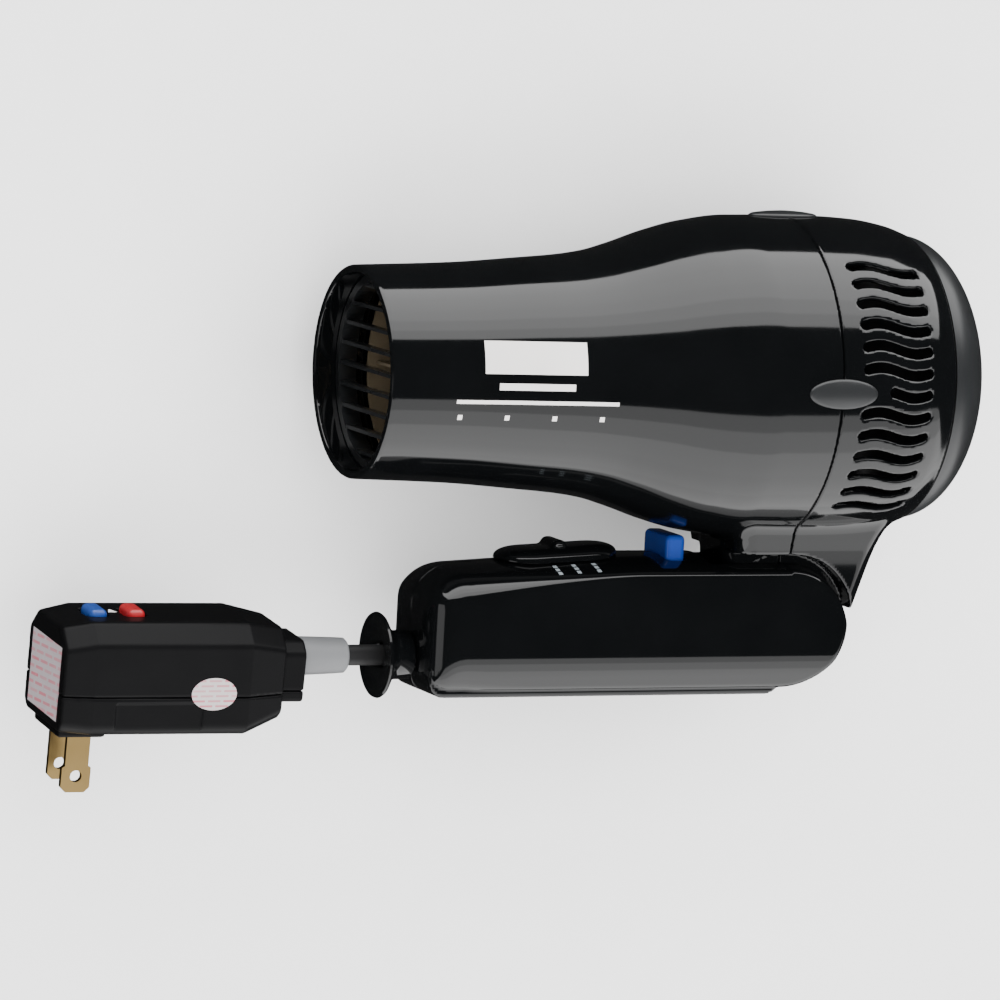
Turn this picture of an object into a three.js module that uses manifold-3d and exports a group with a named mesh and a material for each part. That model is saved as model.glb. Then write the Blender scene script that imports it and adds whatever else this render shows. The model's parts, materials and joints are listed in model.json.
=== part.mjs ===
// Travel hair dryer with a folding handle and a retractable cord, as separate pieces.
// Working frame in mm: origin on the barrel axis near the parting plane, +X to the rear,
// +Y from the folded handle to the barrel, +Z out of the dryer's left side.
// At the end everything moves so that z = 0 is the lowest point of the fan housing.
import * as THREE from 'three';
import { mergeVertices } from 'three/addons/utils/BufferGeometryUtils.js';
import Module from 'manifold-3d';

// Barrel
const HOUSING_R = 43.1;
const PART_X = 3.6;
const NOZZLE_X = -118.6;
const NOZZLE_R = 28;
const CAP_X = 39.1;
const CAP_DEPTH = 18.5;
const CAP_R = 38.4;
const WALL = 2;
const GAP = 0.3;
const GRILLE_X = NOZZLE_X + 6;
const SLOTS_PER_SIDE = 13;
const SLOT_PITCH = 8;
const SLOT_WIDTH = 2.5;
const SLOT_X0 = 9.6;
const SLOT_X1 = 30.8;
// Fold hinge
const PIVOT_X = 4.8;
const PIVOT_Y = -65.3;
const TONGUE_R = 14;
const TONGUE_HALF = 10.8;
const PIN_R = 3.5;
// Handle
const HANDLE_END_X = -98.5;
const HANDLE_TOP = -47.7;
const HANDLE_BOTTOM = -82.9;
const STRIP_BOTTOM = -84.8;
const STRIP_HALF = 12.6;
const SLOPE_X = -41;
const TOP_SLOPE = 0.058;
const HANDLE_HALF = 17;
const HANDLE_WALL = 2.2;
const KNUCKLE_R = 17.6;
const SLIDER_X = -57.7;
const FORK_HALF = 11.2;
const FORK_ROOT_X = -17;
// Cord reel
const REEL_X = -80;
const REEL_Y = -66.6;
const REEL_R = 13.6;
const CORD_Y = -74.9;
const CORD_W = 4.2;
const CORD_T = 2.3;
// Plug
const PLUG_FRONT = -130.6;
const PLUG_LENGTH = 68.5;
const PLUG_Y = -75.8;
const PLUG_HALF = 15.7;
const PLUG_TILT = -0.008;
const PLUG_ROLL = 0.1;
const PLUG_DEPTH = 16.6;
const BLADE_SPACING = 12.7;
const BLADE_U = 60.2;

const TAU = Math.PI * 2;
const wasm = await Module();
wasm.setup();
const dryer = new THREE.Group();
dryer.name = 'travel_hair_dryer';

// ---- helpers -------------------------------------------------------------

function solid(geometry) {
  const bare = new THREE.BufferGeometry();
  bare.setAttribute('position', geometry.attributes.position.clone());
  if (geometry.index) bare.setIndex(geometry.index.clone());
  const merged = mergeVertices(bare, 1e-4);
  const points = merged.attributes.position.array;
  const index = merged.index.array;
  const faces = [];
  let volume = 0;
  const [a, b, c] = [new THREE.Vector3(), new THREE.Vector3(), new THREE.Vector3()];
  for (let i = 0; i < index.length; i += 3) {
    const [p, q, r] = [index[i], index[i + 1], index[i + 2]];
    if (p === q || q === r || r === p) continue;
    faces.push([p, q, r]);
    a.fromArray(points, 3 * p);
    b.fromArray(points, 3 * q);
    c.fromArray(points, 3 * r);
    volume += a.dot(b.cross(c));
  }
  const triVerts = Uint32Array.from(faces.flatMap((f) => (volume < 0 ? [f[0], f[2], f[1]] : f)));
  const vertProperties = Float32Array.from(points);
  return new wasm.Manifold(new wasm.Mesh({ numProp: 3, vertProperties, triVerts }));
}

function moved(geometry, x, y, z, rx = 0, ry = 0, rz = 0) {
  const turn = new THREE.Matrix4().makeRotationFromEuler(new THREE.Euler(rx, ry, rz));
  return geometry.applyMatrix4(turn).translate(x, y, z);
}

// Revolves [x, radius] stations about the X axis.
function turned(stations, segments = 36) {
  const profile = stations.map(([x, r]) => new THREE.Vector2(r, x));
  return new THREE.LatheGeometry(profile, segments).rotateZ(-Math.PI / 2);
}

// A rod or a ring along a chosen axis, centred on the origin.
function rod(radius, length, segments = 20, axis = 'z') {
  const h = length / 2;
  const g = turned([[-h, 0], [-h, radius], [h, radius], [h, 0]], segments);
  if (axis === 'z') g.rotateY(Math.PI / 2);
  if (axis === 'y') g.rotateZ(Math.PI / 2);
  return g;
}

function ring(outer, inner, length, segments = 28, axis = 'z') {
  const h = length / 2;
  const g = turned([[-h, inner], [-h, outer], [h, outer], [h, inner], [-h, inner]], segments);
  if (axis === 'z') g.rotateY(Math.PI / 2);
  if (axis === 'y') g.rotateZ(Math.PI / 2);
  return g;
}

function roundedRect(w, h, r, steps = 3) {
  const points = [];
  const corners = [[1, 1, 0], [-1, 1, 1], [-1, -1, 2], [1, -1, 3]];
  for (const [sx, sy, quarter] of corners) {
    for (let i = 0; i <= steps; i += 1) {
      const t = (quarter + i / steps) * TAU / 4;
      points.push([sx * (w / 2 - r) + r * Math.cos(t), sy * (h / 2 - r) + r * Math.sin(t)]);
    }
  }
  return points;
}

function slab(outline, z0, z1, bevel = 0) {
  const shape = new THREE.Shape(outline.map(([x, y]) => new THREE.Vector2(x, y)));
  const options = {
    depth: z1 - z0 - 2 * bevel,
    bevelEnabled: bevel > 0,
    bevelThickness: bevel,
    bevelSize: bevel,
    bevelOffset: -bevel,
    bevelSegments: 2,
  };
  return new THREE.ExtrudeGeometry(shape, options).translate(0, 0, z0 + bevel);
}

function box(x0, x1, y0, y1, z0, z1, bevel = 0) {
  return slab([[x0, y0], [x1, y0], [x1, y1], [x0, y1]], z0, z1, bevel);
}

// Joins rings of equal point count into one closed body.
function loft(rings) {
  const n = rings[0].length;
  const points = rings.flat(2);
  const index = [];
  for (let k = 0; k + 1 < rings.length; k += 1) {
    for (let i = 0; i < n; i += 1) {
      const j = (i + 1) % n;
      const [p, q, r, s] = [k * n + i, k * n + j, (k + 1) * n + j, (k + 1) * n + i];
      index.push(p, q, r, p, r, s);
    }
  }
  const last = (rings.length - 1) * n;
  for (let i = 1; i + 1 < n; i += 1) {
    index.push(0, i + 1, i);
    index.push(last, last + i, last + i + 1);
  }
  const g = new THREE.BufferGeometry();
  g.setAttribute('position', new THREE.Float32BufferAttribute(points, 3));
  g.setIndex(index);
  return g;
}

// A bar of constant section along a smooth curve.
function run(points, section, steps, closedCurve = false) {
  const path = new THREE.CatmullRomCurve3(points.map((p) => new THREE.Vector3(...p)), closedCurve);
  const shape = new THREE.Shape(section.map(([x, y]) => new THREE.Vector2(x, y)));
  return new THREE.ExtrudeGeometry(shape, { steps, bevelEnabled: false, extrudePath: path });
}

function wireSection(radius, sides = 6) {
  return Array.from({ length: sides }, (_, i) => [
    radius * Math.cos(TAU * i / sides),
    radius * Math.sin(TAU * i / sides),
  ]);
}

function piece(name, body, color, roughness = 0.4, metalness = 0) {
  const mesh = body.getMesh ? body.getMesh() : solid(body).getMesh();
  const g = new THREE.BufferGeometry();
  const stride = mesh.numProp;
  const xyz = [];
  for (let i = 0; i < mesh.vertProperties.length; i += stride) {
    xyz.push(mesh.vertProperties[i], mesh.vertProperties[i + 1], mesh.vertProperties[i + 2]);
  }
  g.setAttribute('position', new THREE.Float32BufferAttribute(xyz, 3));
  g.setIndex(Array.from(mesh.triVerts));
  g.computeVertexNormals();
  const material = new THREE.MeshStandardMaterial({ color, roughness, metalness });
  const part = new THREE.Mesh(g, material);
  part.name = name;
  dryer.add(part);
}

// ---- barrel shell --------------------------------------------------------

const SHELL = [
  [NOZZLE_X, NOZZLE_R], [-92, 29], [-72, 30.6], [-60, 31.7], [-52, 33], [-44, 35.3], [-34, 38.7],
  [-24, 41.3], [-12, 42.9], [PART_X, HOUSING_R], [14, 43], [24, 42.5], [33, 41], [CAP_X, 38.9],
];

const frontOuter = SHELL.filter((s) => s[0] < PART_X).concat([[PART_X - GAP / 2, HOUSING_R]]);
const thinned = (stations) => stations.filter((s, i) => i % 2 === 0 || i === stations.length - 1);
const frontInner = thinned(frontOuter).map(([x, r]) => [x, r - WALL]).reverse();
const rearOuter = [[PART_X + GAP / 2, HOUSING_R]].concat(SHELL.filter((s) => s[0] > PART_X));
const rearInner = thinned(rearOuter).map(([x, r]) => [x, r - WALL]).reverse();
const frontTube = solid(turned([...frontOuter, ...frontInner, frontOuter[0]]));
const rearTube = solid(turned([...rearOuter, ...rearInner, rearOuter[0]]));
const bore = solid(turned([
  [NOZZLE_X - 5, 0], [NOZZLE_X - 5, NOZZLE_R - WALL],
  ...[...frontInner].reverse(), ...[...rearInner].reverse(), [60, CAP_R - WALL], [60, 0],
]));

// A wide neck flares down from the barrel, arched over the handle's knuckle, and a narrow
// column inside it carries the tongue between the handle's cheeks.
function neckRing(y, x0, x1, half) {
  return roundedRect(x1 - x0, 2 * half, Math.min(6, half - 1)).map(([x, z]) => [x + (x0 + x1) / 2, y, z]);
}

const neckColumn = solid(loft([
  neckRing(-40, -13.5, 31.5, TONGUE_HALF),
  neckRing(-52, -11.5, 27, TONGUE_HALF),
  neckRing(-61.4, -10.5, 24.6, TONGUE_HALF),
]));
const archR = KNUCKLE_R + 1.4;
const knuckleVoid = solid(moved(ring(60, archR, 60, 40), PIVOT_X, PIVOT_Y, 0));
const aboveHandle = solid(box(-40, PIVOT_X, PIVOT_Y + archR, 0, -40, 40))
  .add(solid(box(PIVOT_X, 60, -70, 0, -40, 40)));
const hoodSkin = solid(loft([
  neckRing(-30, -15, 37, 22),
  neckRing(-35, -14, 35, 20.5),
  neckRing(-38, -13, 33, 19.5),
  neckRing(-42, -12, 31.1, 18.4),
  neckRing(-46, -11.5, 29.7, 17.4),
  neckRing(-52, -11.5, 27.8, 16.8),
  neckRing(-61.4, -11.5, 24.8, 16.4),
])).intersect(knuckleVoid).intersect(aboveHandle);
const tongue = solid(moved(rod(TONGUE_R, 2 * TONGUE_HALF, 32), PIVOT_X, PIVOT_Y, 0));
const pinBore = solid(moved(rod(PIN_R + GAP, 60, 24), PIVOT_X, PIVOT_Y, 0));
const leadBore = solid(box(-5, 10, -60, -30, -4, 4));
const neck = neckColumn.add(hoodSkin).add(tongue).subtract(bore).subtract(pinBore).subtract(leadBore);
const frontHalf = solid(box(-140, PART_X - GAP / 2, -100, 60, -60, 60));
const rearHalf = solid(box(PART_X + GAP / 2, 90, -100, 60, -60, 60));

function boss(x0, x1, y, z, radius, hole) {
  return solid(moved(ring(radius, hole, x1 - x0, 12, 'x'), (x0 + x1) / 2, y, z));
}

let frontShell = frontTube.add(neck.intersect(frontHalf)).subtract(leadBore);
let rearShell = rearTube.add(neck.intersect(rearHalf)).subtract(leadBore);
const bossPlaces = [[26.2, 27.6], [26.2, -27.6]];
for (const [y, z] of bossPlaces) {
  frontShell = frontShell.add(boss(PART_X - 14, PART_X - GAP / 2, y, z, 3.4, 1.4));
  rearShell = rearShell.add(boss(PART_X + GAP / 2, PART_X + 5.6, y, z, 3.4, 1.7));
}

// S-wave intake slots, fanned round both sides of the rear housing.
function slotCutter(angle, x0) {
  const steps = 3;
  const side = [];
  for (let i = 0; i <= steps; i += 1) {
    const x = x0 + (SLOT_X1 - x0) * i / steps;
    side.push([x, 1.1 * Math.sin(TAU * (x - SLOT_X0 + 0.5) / 22)]);
  }
  const outline = side.map(([x, y]) => [x, y - SLOT_WIDTH / 2]);
  outline.push(...side.reverse().map(([x, y]) => [x, y + SLOT_WIDTH / 2]));
  return solid(slab(outline, 36, 47).rotateX(angle));
}

for (const side of [0, 1]) {
  for (let i = 0; i < SLOTS_PER_SIDE; i += 1) {
    const step = i - (SLOTS_PER_SIDE - 1) / 2;
    const angle = side * Math.PI + step * SLOT_PITCH * TAU / 360;
    const start = Math.abs(step) < 1 ? SLOT_X0 + 8 : SLOT_X0;
    rearShell = rearShell.subtract(slotCutter(angle, start));
  }
}
piece('front_barrel', frontShell, 0x101113, 0.15);
piece('rear_housing', rearShell, 0x101113, 0.15);

// Domed satin cap behind the slots.
const dome = [];
for (let i = 0; i <= 6; i += 1) {
  const t = Math.sin(i / 6 * TAU / 4);
  dome.push([CAP_X + GAP + CAP_DEPTH * t, CAP_R * Math.sqrt(1 - t * t)]);
}
dome[6][1] = 0;
const domeInner = dome.slice(0, 6).map(([x, r]) => [Math.max(CAP_X + GAP, x - WALL), Math.max(0, r - WALL)]);
domeInner.push([CAP_X + GAP + CAP_DEPTH - WALL, 0]);
piece('rear_cap', turned([...dome, ...domeInner.reverse(), dome[0]]), 0x16171a, 0.45);

// Oval caps sit on the parting line at both sides and on top.
function ovalCap(name, turn) {
  const oval = roundedRect(2, 2, 1, 5).map(([x, y]) => [10 * x, 4 * y]);
  const body = slab(oval, HOUSING_R + GAP, HOUSING_R + 1.5, 0.5).rotateX(turn).translate(PART_X, 0, 0);
  piece(name, body, 0x1b1c1f, 0.5);
}
ovalCap('oval_cap_left', 0);
ovalCap('oval_cap_right', Math.PI);
ovalCap('oval_cap_top', -Math.PI / 2);

// ---- outlet and heater ---------------------------------------------------

const mouthR = 26.2;
let grille = solid(turned([
  [GRILLE_X, mouthR - 2.4], [GRILLE_X, mouthR - GAP], [GRILLE_X + 5, mouthR - GAP],
  [GRILLE_X + 5, mouthR - 2.4], [GRILLE_X, mouthR - 2.4],
], 32));
for (let i = -4; i <= 4; i += 1) {
  const y = 5.5 * i;
  const reach = Math.sqrt((mouthR - 1.5) ** 2 - (Math.abs(y) + 0.5) ** 2);
  grille = grille.add(solid(box(GRILLE_X + 0.4, GRILLE_X + 3, y - 0.5, y + 0.5, -reach, reach)));
}
piece('outlet_grille', grille, 0x0c0d0e, 0.5);

piece('heat_shield', turned([
  [-104, 24.6], [-104, 25.2], [-60, 27.6], [-60, 27], [-104, 24.6],
], 32), 0xc9b994, 0.7);
const slit = 0.7;
const boardTall = solid(box(-102, -63, -23, 23, -0.4, 0.4));
piece('mica_board_upright', boardTall.subtract(solid(box(-83, -60, -slit, slit, -2, 2))), 0xd2c3a0, 0.7);
const boardFlat = solid(box(-102, -63, -0.4, 0.4, -23, 23));
piece('mica_board_level', boardFlat.subtract(solid(box(-105, -82.2, -2, 2, -slit, slit))), 0xd2c3a0, 0.7);

// Wavy resistance wire wound clear of the board edges.
function heaterCoil(name, x0, x1, turns) {
  const count = 72;
  const points = Array.from({ length: count + 1 }, (_, i) => {
    const t = TAU * turns * i / count;
    const r = i % 2 ? 23.9 : 24.3;
    return [x0 + (x1 - x0) * i / count, r * Math.cos(t), r * Math.sin(t)];
  });
  piece(name, run(points, wireSection(0.3, 3), 72), 0x9a8f86, 0.4, 0.8);
}
heaterCoil('heater_coil_low', -99, -86, 4);
heaterCoil('heater_coil_high', -80, -66, 4);
piece('thermostat', box(-98, -90, 4, 12, 1, 6, 0.6), 0xd8d4c6, 0.5);
piece('thermal_fuse', moved(rod(1.6, 11, 10, 'x'), -72, 9, 3), 0xb8a070, 0.3, 0.7);

// ---- motor and fan -------------------------------------------------------

piece('motor_can', turned([
  [-56, 4], [-56, 11.6], [-55, 12.4], [-29, 12.4], [-28, 11.6], [-28, 3], [-30, 3], [-30, 1.7],
  [-54, 1.7], [-54, 4], [-56, 4],
], 24), 0xa8abb0, 0.3, 0.9);
piece('motor_shaft', moved(rod(1.2, 42, 16, 'x'), -30, 0, 0), 0xc8ccd0, 0.2, 1);
const mountRing = turned([[-52, 30.7], [-34, 36.2], [-34, 34.7], [-52, 29.2], [-52, 30.7]], 32);
let mount = solid(mountRing).add(solid(moved(ring(14.6, 12.7, 20, 24, 'x'), -43, 0, 0)));
for (let i = 0; i < 5; i += 1) {
  mount = mount.add(solid(box(-50, -36, 14, 30.5, -0.8, 0.8).rotateX(TAU * i / 5)));
}
mount = mount.subtract(solid(box(-60, -30, -40, -20, -3.5, 3.5)));
piece('motor_mount', mount, 0x2a2c30, 0.6);
let fan = solid(moved(ring(11.5, 1.35, 14, 24, 'x'), -15, 0, 0));
for (let i = 0; i < 7; i += 1) {
  const blade = box(-9, 9, 10.6, 33.5, -0.8, 0.8).rotateY(0.72).translate(-15, 0, 0);
  fan = fan.add(solid(blade.rotateX(TAU * i / 7)));
}
piece('fan_rotor', fan, 0x3a3d42, 0.5);
piece('rectifier_board', box(-58.6, -57.2, -9, 9, -9, 9), 0x2f6b3c, 0.6);
bossPlaces.forEach(([y, z], i) => {
  const screw = turned([[-9, 0], [-9, 1.1], [6, 1.1], [6, 2.4], [7.8, 2], [7.8, 0]], 10);
  piece(`housing_screw_${i + 1}`, screw.translate(PART_X, y, z), 0xb0b3b8, 0.3, 0.9);
});
piece('barrel_leads', run([
  [-57, -14, 0], [-50, -25, 0], [-40, -31, 0], [-28, -35.6, 0], [-14, -36.6, 0], [-3, -38.2, 0],
  [2, -43, 0], [3, -54, 0],
], wireSection(1.2), 24), 0x8c2f2a, 0.6);

// ---- fold hinge ----------------------------------------------------------

piece('hinge_pin', moved(ring(PIN_R, 2.2, 31, 24), PIVOT_X, PIVOT_Y, 0), 0x9fa3a8, 0.3, 0.9);

// ---- handle --------------------------------------------------------------

function handleOutline(inset) {
  const top = HANDLE_TOP - inset;
  const end = HANDLE_END_X + inset;
  const r = 11 - inset;
  const low = 7 - inset;
  const endTop = top - TOP_SLOPE * (SLOPE_X - end - r);
  const bottom = HANDLE_BOTTOM + inset;
  const points = [[SLOPE_X, top]];
  for (let i = 0; i <= 5; i += 1) {
    const t = TAU / 4 * (1 + i / 5);
    points.push([end + r + r * Math.cos(t), endTop - r + r * Math.sin(t)]);
  }
  for (let i = 0; i <= 4; i += 1) {
    const t = TAU / 4 * (2 + i / 4);
    points.push([end + low + low * Math.cos(t), bottom + low + low * Math.sin(t)]);
  }
  const round = KNUCKLE_R - inset;
  for (let i = 0; i <= 12; i += 1) {
    const t = TAU * (i / 24 - 0.25);
    points.push([PIVOT_X + round * Math.cos(t), PIVOT_Y + round * Math.sin(t)]);
  }
  return points;
}

// Rounds the free end as seen from above.
function endPlan(inset) {
  const [length, width] = [160 - 2 * inset, 2 * (HANDLE_HALF - inset)];
  const plan = slab(roundedRect(length, width, 10 - inset, 4), 30, 110).rotateX(Math.PI / 2);
  return solid(plan.translate(HANDLE_END_X + 80, 0, 0));
}

const strip = solid(slab([
  [-97.4, -80], [-96.4, -83.2], [-94, STRIP_BOTTOM], [2.7, STRIP_BOTTOM], [5.3, -81],
], -STRIP_HALF, STRIP_HALF, 0.8));
const envelope = solid(slab(handleOutline(0), -HANDLE_HALF, HANDLE_HALF, 3.5))
  .intersect(endPlan(0))
  .add(strip);
const innerHalf = HANDLE_HALF - HANDLE_WALL;
const hollow = solid(slab(handleOutline(HANDLE_WALL), -innerHalf, innerHalf, 2))
  .intersect(solid(box(-120, FORK_ROOT_X - 2.4, -100, 0, -30, 30)))
  .intersect(endPlan(HANDLE_WALL));
const fork = solid(box(FORK_ROOT_X, 40, -80.6, -30, -FORK_HALF, FORK_HALF))
  .add(solid(box(PIVOT_X + 0.8, 40, -100, -30, -FORK_HALF, FORK_HALF)));
const leadPass = solid(box(FORK_ROOT_X - 4, FORK_ROOT_X + 1, -76, -72, -3, 3));
const cheekBore = solid(moved(rod(PIN_R + 0.06, 31.6, 48), PIVOT_X, PIVOT_Y, 0));
const switchWindow = solid(box(-66.5, -49, -60, -30, -4.6, 4.6));
const buttonWindow = solid(box(-28.9, -22.6, -60, -30, -8.6, 8.6));
const cordHole = solid(moved(rod(4.4, 14, 20, 'x'), HANDLE_END_X, CORD_Y, 0));
const reelBore = solid(moved(rod(2.2, 31.4, 16), REEL_X, REEL_Y, 0));
const handleBody = envelope.subtract(hollow).subtract(fork).subtract(leadPass).subtract(cheekBore)
  .subtract(switchWindow).subtract(buttonWindow).subtract(cordHole).subtract(reelBore);
const leftSide = solid(box(-120, 60, -110, -20, GAP / 2, 40));
const rightSide = solid(box(-120, 60, -110, -20, -40, -GAP / 2));
const screwPosts = [[-55, -77.3], [-24.5, -77.3]];
let leftShell = handleBody.intersect(leftSide);
let rightShell = handleBody.intersect(rightSide);
for (const [x, y] of screwPosts) {
  leftShell = leftShell.add(solid(moved(ring(3, 1.4, 15.5, 12), x, y, 7.9)));
  rightShell = rightShell.add(solid(moved(ring(3, 1.7, 15.5, 12), x, y, -7.9)));
  const head = solid(moved(rod(3, 3.4, 16), x, y, -HANDLE_HALF + 1.2));
  const hole = solid(moved(rod(1.7, 8, 12), x, y, -HANDLE_HALF + 3));
  rightShell = rightShell.subtract(head).subtract(hole);
}
piece('handle_left_shell', leftShell, 0x101113, 0.18);
piece('handle_right_shell', rightShell, 0x101113, 0.18);
screwPosts.forEach(([x, y], i) => {
  const screw = turned([[-11, 0], [-11, 1.1], [5.2, 1.1], [5.2, 2.6], [7, 2.6], [7, 0]], 12);
  piece(`handle_screw_${i + 1}`, moved(screw, x, y, -8.9, 0, Math.PI / 2, 0), 0xb0b3b8, 0.3, 0.9);
});

// Slide switch: domed slider on the sloping top, its stem reaching the switch block.
function sliderRing(y, half, width) {
  return roundedRect(2 * half, 2 * width, width - 0.2, 5).map(([x, z]) => [x, y, z]);
}

const slider = solid(loft([
  sliderRing(GAP, 17.2, 8.6),
  sliderRing(1.6, 17, 8.4),
  sliderRing(2.8, 15.6, 7),
  sliderRing(3.4, 13, 4.4),
])).add(solid(slab([[-4.3, 2.9], [-2.7, 4.7], [0.5, 4.7], [2.1, 2.9]], -5.4, 5.4, 0.4)))
  .add(solid(box(-2, 2, -6.5, 0.7, -2, 2)))
  .rotate([0, 0, TOP_SLOPE * 360 / TAU])
  .translate([SLIDER_X, HANDLE_TOP + TOP_SLOPE * (SLIDER_X - SLOPE_X), 0]);
piece('switch_slider', slider, 0x121316, 0.25);
let switchBlock = solid(box(-67, -48.4, -59.4, -52, -6, 6));
switchBlock = switchBlock.subtract(solid(box(-66, -49.4, -56.8, -51, -2.6, 2.6)));
piece('switch_block', switchBlock, 0x6b2f24, 0.6);

// Cool-shot button on its return spring above a microswitch.
const button = solid(box(-28.5, -23, -53, -43.1, -7.8, 7.8, 0.7))
  .add(solid(box(-30.6, -20.9, -53.6, -51.6, -9.8, 9.8)));
piece('cool_shot_button', button, 0x2340a8, 0.3);
function spring(radius, x, z, y0, y1, turns) {
  const count = turns * 8;
  const points = Array.from({ length: count + 1 }, (_, i) => {
    const t = TAU * turns * i / count;
    return [x + radius * Math.cos(t), y0 + (y1 - y0) * i / count, z + radius * Math.sin(t)];
  });
  return run(points, wireSection(0.3, 4), count);
}
piece('cool_shot_spring', spring(2, -25.7, 5.6, -63, -56.3, 3), 0xc0c4c8, 0.3, 1);
piece('cool_shot_switch', box(-31, -20.6, -66, -56.5, -6.5, 3), 0x1c1d20, 0.6);

// Cord reel: drum with flanges, clock spring, slip ring, brush block and brake pawl.
const drum = solid(moved(ring(REEL_R, 2.4, 0.9, 24), REEL_X, REEL_Y, -11))
  .add(solid(moved(ring(REEL_R, 2.4, 0.9, 24), REEL_X, REEL_Y, 8)))
  .add(solid(moved(ring(4.4, 2.4, 19.5, 24), REEL_X, REEL_Y, -1.5)));
piece('reel_drum', drum, 0x3c4046, 0.5);
piece('reel_axle', moved(rod(1.9, 29.4, 20), REEL_X, REEL_Y, 0), 0xb4b8bc, 0.3, 0.9);
const coilSpring = Array.from({ length: 61 }, (_, i) => {
  const t = TAU * 5 * i / 60;
  const r = 3.4 + 9 * i / 60;
  return [REEL_X + r * Math.cos(t), REEL_Y + r * Math.sin(t), 11.2];
});
piece('clock_spring', run(coilSpring, [[-2, -0.2], [2, -0.2], [2, 0.2], [-2, 0.2]], 80), 0x8a9098, 0.3, 0.9);
piece('slip_ring', moved(ring(9, 2.6, 0.8, 24), REEL_X, REEL_Y, -12.3), 0xb98a4a, 0.3, 0.9);
piece('brush_block', box(REEL_X + 3, REEL_X + 13, REEL_Y - 3, REEL_Y + 3, -14.5, -13), 0x7a4a2a, 0.5);
piece('brake_pawl', slab([
  [-65.6, -72], [-62, -72], [-60, -66], [-60, -61], [-63, -60], [-65.2, -63],
], 6.4, 9.6), 0x9a9da2, 0.4, 0.7);

// The cord lies wound on the drum in rows, edge to edge, and leads out to the plug.
const winding = [];
const layers = 3;
const rows = 3;
const perTurn = 12;

function cordRing(x, y, z, angle) {
  const [cos, sin] = [Math.cos(angle), Math.sin(angle)];
  return [[-1, -1], [1, -1], [1, 1], [-1, 1]].map(([a, b]) => [
    x + a * CORD_T / 2 * cos,
    y + a * CORD_T / 2 * sin,
    z + b * CORD_W / 2,
  ]);
}

for (let layer = 0; layer < layers; layer += 1) {
  const steps = rows * perTurn;
  for (let i = layer ? 1 : 0; i <= steps; i += 1) {
    const t = -TAU * (0.25 + layer * rows + i / perTurn);
    const rise = layer < layers - 1 ? Math.max(0, i - steps + 5) / 5 : 0;
    const r = 6.1 + 2.85 * (layer + rise);
    const along = 13.2 * i / steps - 6.6;
    const z = -1.5 + (layer % 2 ? -along : along);
    winding.push(cordRing(REEL_X + r * Math.cos(t), REEL_Y + r * Math.sin(t), z, t));
  }
}
winding.push(cordRing(REEL_X - 5.5, REEL_Y - 10.4, 4.4, -TAU * 0.29));
piece('cord_winding', loft(winding), 0x111214, 0.6);
piece('handle_leads', run([
  [-46.5, -64, 0], [-38, -68.5, 0], [-30, -70.5, 0], [-22, -73.8, 0], [-18.6, -74, 0],
], wireSection(1.3), 16), 0x8c2f2a, 0.6);

// ---- cord exit and plug --------------------------------------------------

piece('cord_exit_flange', moved(turned([
  [HANDLE_END_X + 4.5, 3.2], [HANDLE_END_X + 4.5, 4.1], [HANDLE_END_X - GAP, 4.1], [HANDLE_END_X - GAP, 6.5],
  [-105.5, 6.5], [-106.9, 11.4], [-108.1, 11.4], [-107.9, 5.5], [-106.5, 3.2], [HANDLE_END_X + 4.5, 3.2],
], 28), 0, CORD_Y, 0), 0x0e0f11, 0.4);
piece('cord_stub', run([[-92, CORD_Y, 0], [-96, CORD_Y, 0], [-106, CORD_Y, 0], [PLUG_FRONT + 1, CORD_Y, 0]],
  roundedRect(CORD_T, CORD_W, 0.8, 1), 4), 0x101113, 0.6);
piece('cord_sleeve', moved(turned([
  [-116.8, 2.9], [-116.8, 4.4], [-117.3, 4.7], [-129.8, 5.2], [-130.2, 4.9], [-130.2, 2.9], [-116.8, 2.9],
], 20), 0, CORD_Y, 0), 0x8f9194, 0.6);

// The plug is drawn in its own frame: u from the collar to the far end, v up, w across.
const plugTilt = new THREE.Matrix4().makeTranslation(PLUG_FRONT - GAP, PLUG_Y, 0)
  .multiply(new THREE.Matrix4().makeRotationZ(PLUG_TILT))
  .multiply(new THREE.Matrix4().makeRotationX(PLUG_ROLL));
const inPlug = (g) => g.clone().applyMatrix4(plugTilt);
function plugRing(u, bottom, top, half, bevel) {
  return [
    [-u, bottom + 2, half], [-u, top - bevel, half], [-u, top, half - bevel], [-u, top, bevel - half],
    [-u, top - bevel, -half], [-u, bottom + 2, -half], [-u, bottom, 2 - half], [-u, bottom, half - 2],
  ];
}
const plugOuter = solid(inPlug(loft([
  plugRing(0, -8.9, 6.6, 9, 3), plugRing(6.8, -9.4, 7.2, 10, 3), plugRing(7, -13, 10.6, 12.6, 4),
  plugRing(17.5, -PLUG_DEPTH, 12.6, PLUG_HALF, 5), plugRing(60, -PLUG_DEPTH, 12.6, PLUG_HALF, 5),
  plugRing(PLUG_LENGTH, 0.6 - PLUG_DEPTH, 11, 14.6, 5),
]))).add(solid(inPlug(box(-67, -54, -PLUG_DEPTH - 1.8, -PLUG_DEPTH + 0.4, -9.6, 9.6))));
const plugFloor = 2 - PLUG_DEPTH;
const plugHollow = solid(inPlug(loft([
  plugRing(9, -11.4, 9.4, 11.2, 3.2), plugRing(17.5, plugFloor, 10.6, 13.7, 4.2),
  plugRing(60, plugFloor, 10.6, 13.7, 4.2), plugRing(66.4, plugFloor + 0.4, 9.4, 12.8, 4.2),
])));
const plugCore = plugOuter.subtract(plugHollow);
const plugCut = -6.2;
const cordWay = solid(moved(rod(3.2, 24, 16, 'x'), PLUG_FRONT, CORD_Y, 0));
const testWindow = solid(inPlug(box(-59.9, -53.5, 4, 20, -4.4, 4.4)));
const resetWindow = solid(inPlug(box(-49.5, -43.1, 4, 20, -4.4, 4.4)));
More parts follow.
